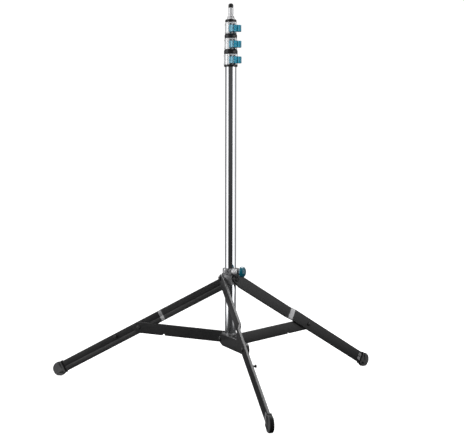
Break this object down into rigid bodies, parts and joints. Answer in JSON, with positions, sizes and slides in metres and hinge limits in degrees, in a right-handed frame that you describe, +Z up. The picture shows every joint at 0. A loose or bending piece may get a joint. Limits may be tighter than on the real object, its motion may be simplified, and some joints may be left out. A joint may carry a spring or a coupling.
{
  "type": "lighting stand",
  "caption": "Free-standing lighting stand: telescopic chrome mast with screw clamps on a folding three-legged base, 16 mm spigot on top.",
  "frame": {"origin": "middle of the footprint (the bounding box seen from above) on the floor; the mast axis stands at x = -18.45 mm, y = 137.86 mm", "axes": "+Z up along the mast; leg a points along -Y, leg b is 120 degrees anticlockwise from it seen from above, leg c 240 degrees"},
  "size_m": [1.0938, 0.9792, 1.2067],
  "materials": {
    "chrome": "polished chrome plate",
    "cast_alloy": "satin cast",
    "black_paint": "satin black paint",
    "black_plastic": "matte",
    "blue_plastic": "gloss",
    "rubber": "matte",
    "steel": "zinc plated"
  },
  "bodies": {
    "base": {"base_tube": "chrome", "base_hub": "black_paint", "clamp_1": "cast_alloy", "clamp_1_ring": "black_plastic", "clamp_1_skirt": "black_plastic"},
    "riser_1": {"riser_1_tube": "chrome", "riser_1_bush": "black_plastic", "clamp_2": "cast_alloy", "clamp_2_ring": "black_plastic"},
    "riser_2": {"riser_2_tube": "chrome", "riser_2_bush": "black_plastic", "clamp_3": "cast_alloy", "clamp_3_ring": "black_plastic"},
    "riser_3": {"riser_3_tube": "chrome", "riser_3_bush": "black_plastic", "spigot": "steel", "spigot_cap": "rubber"},
    "t_knob_1": {"t_knob_1": "blue_plastic", "t_knob_1_screw": "steel"},
    "t_knob_2": {"t_knob_2": "blue_plastic", "t_knob_2_screw": "steel"},
    "t_knob_3": {"t_knob_3": "blue_plastic", "t_knob_3_screw": "steel"},
    "leg_collar": {"leg_collar": "cast_alloy", "collar_bolt_a": "black_paint", "collar_bolt_b": "black_paint", "collar_bolt_c": "black_paint"},
    "collar_knob": {"collar_knob": "blue_plastic", "collar_knob_screw": "chrome"},
    "leg_a": {"leg_a_bar": "black_paint", "leg_a_boot": "rubber", "leg_a_brace_bolt": "steel", "leg_a_catch_pin": "black_paint", "leg_a_plate": "steel"},
    "brace_a": {"brace_a": "black_paint", "brace_a_hub_bolt": "steel"},
    "leg_b": {"leg_b_bar": "black_paint", "leg_b_boot": "rubber", "leg_b_brace_bolt": "steel", "leg_b_catch_pin": "black_paint", "leg_b_plate": "steel"},
    "brace_b": {"brace_b": "black_paint", "brace_b_hub_bolt": "steel"},
    "leg_c": {"leg_c_bar": "black_paint", "leg_c_boot": "rubber", "leg_c_brace_bolt": "steel", "leg_c_catch_pin": "black_paint", "leg_c_plate": "steel"},
    "brace_c": {"brace_c": "black_paint", "brace_c_hub_bolt": "steel"}
  },
  "joints": [
    {"name": "riser_1_slide", "type": "slide", "parent": "base", "child": "riser_1", "axis": [0, 0, 1], "range_m": [0, 0.75]},
    {"name": "riser_2_slide", "type": "slide", "parent": "riser_1", "child": "riser_2", "axis": [0, 0, 1], "range_m": [0, 0.75]},
    {"name": "riser_3_slide", "type": "slide", "parent": "riser_2", "child": "riser_3", "axis": [0, 0, 1], "range_m": [0, 0.75]},
    {"name": "t_knob_1_turn", "type": "hinge", "parent": "base", "child": "t_knob_1", "pos_m": [-0.01845, 0.10786, 1.02905], "axis": [0, -1, 0], "range_deg": [0, 360]},
    {"name": "t_knob_2_turn", "type": "hinge", "parent": "riser_1", "child": "t_knob_2", "pos_m": [-0.01845, 0.10786, 1.0774], "axis": [0, -1, 0], "range_deg": [0, 360]},
    {"name": "t_knob_3_turn", "type": "hinge", "parent": "riser_2", "child": "t_knob_3", "pos_m": [-0.01845, 0.10786, 1.1261], "axis": [0, -1, 0], "range_deg": [0, 360]},
    {"name": "leg_collar_slide", "type": "slide", "parent": "base", "child": "leg_collar", "axis": [0, 0, 1], "range_m": [0, 0.49698]},
    {"name": "collar_knob_turn", "type": "hinge", "parent": "leg_collar", "child": "collar_knob", "pos_m": [-0.00447, 0.10208, 0.3714], "axis": [0.866, -0.5, 0], "range_deg": [0, 360]},
    {"name": "leg_a_fold", "type": "hinge", "parent": "leg_collar", "child": "leg_a", "pos_m": [-0.04705, 0.14186, 0.3483], "axis": [1, 0, 0], "range_deg": [0, 57.83]},
    {"name": "brace_a_fold", "type": "hinge", "parent": "leg_a", "child": "brace_a", "pos_m": [-0.04705, -0.18167, 0.17504], "axis": [1, 0, 0], "range_deg": [-139.95, 0]},
    {"name": "leg_b_fold", "type": "hinge", "parent": "leg_collar", "child": "leg_b", "pos_m": [-0.00761, 0.11109, 0.3483], "axis": [-0.5, 0.866, 0], "range_deg": [0, 57.83]},
    {"name": "brace_b_fold", "type": "hinge", "parent": "leg_b", "child": "brace_b", "pos_m": [0.27257, 0.27286, 0.17504], "axis": [-0.5, 0.866, 0], "range_deg": [-139.95, 0]},
    {"name": "leg_c_fold", "type": "hinge", "parent": "leg_collar", "child": "leg_c", "pos_m": [-0.00069, 0.16063, 0.3483], "axis": [-0.5, -0.866, 0], "range_deg": [0, 57.83]},
    {"name": "brace_c_fold", "type": "hinge", "parent": "leg_c", "child": "brace_c", "pos_m": [-0.28087, 0.32239, 0.17504], "axis": [-0.5, -0.866, 0], "range_deg": [-139.95, 0]}
  ],
  "couplings": [
    {"joint": "leg_a_fold", "follows": "leg_collar_slide", "rad_per_m": 2.0309},
    {"joint": "brace_a_fold", "follows": "leg_collar_slide", "rad_per_m": -4.9148},
    {"joint": "leg_b_fold", "follows": "leg_collar_slide", "rad_per_m": 2.0309},
    {"joint": "brace_b_fold", "follows": "leg_collar_slide", "rad_per_m": -4.9148},
    {"joint": "leg_c_fold", "follows": "leg_collar_slide", "rad_per_m": 2.0309},
    {"joint": "brace_c_fold", "follows": "leg_collar_slide", "rad_per_m": -4.9148}
  ]
}
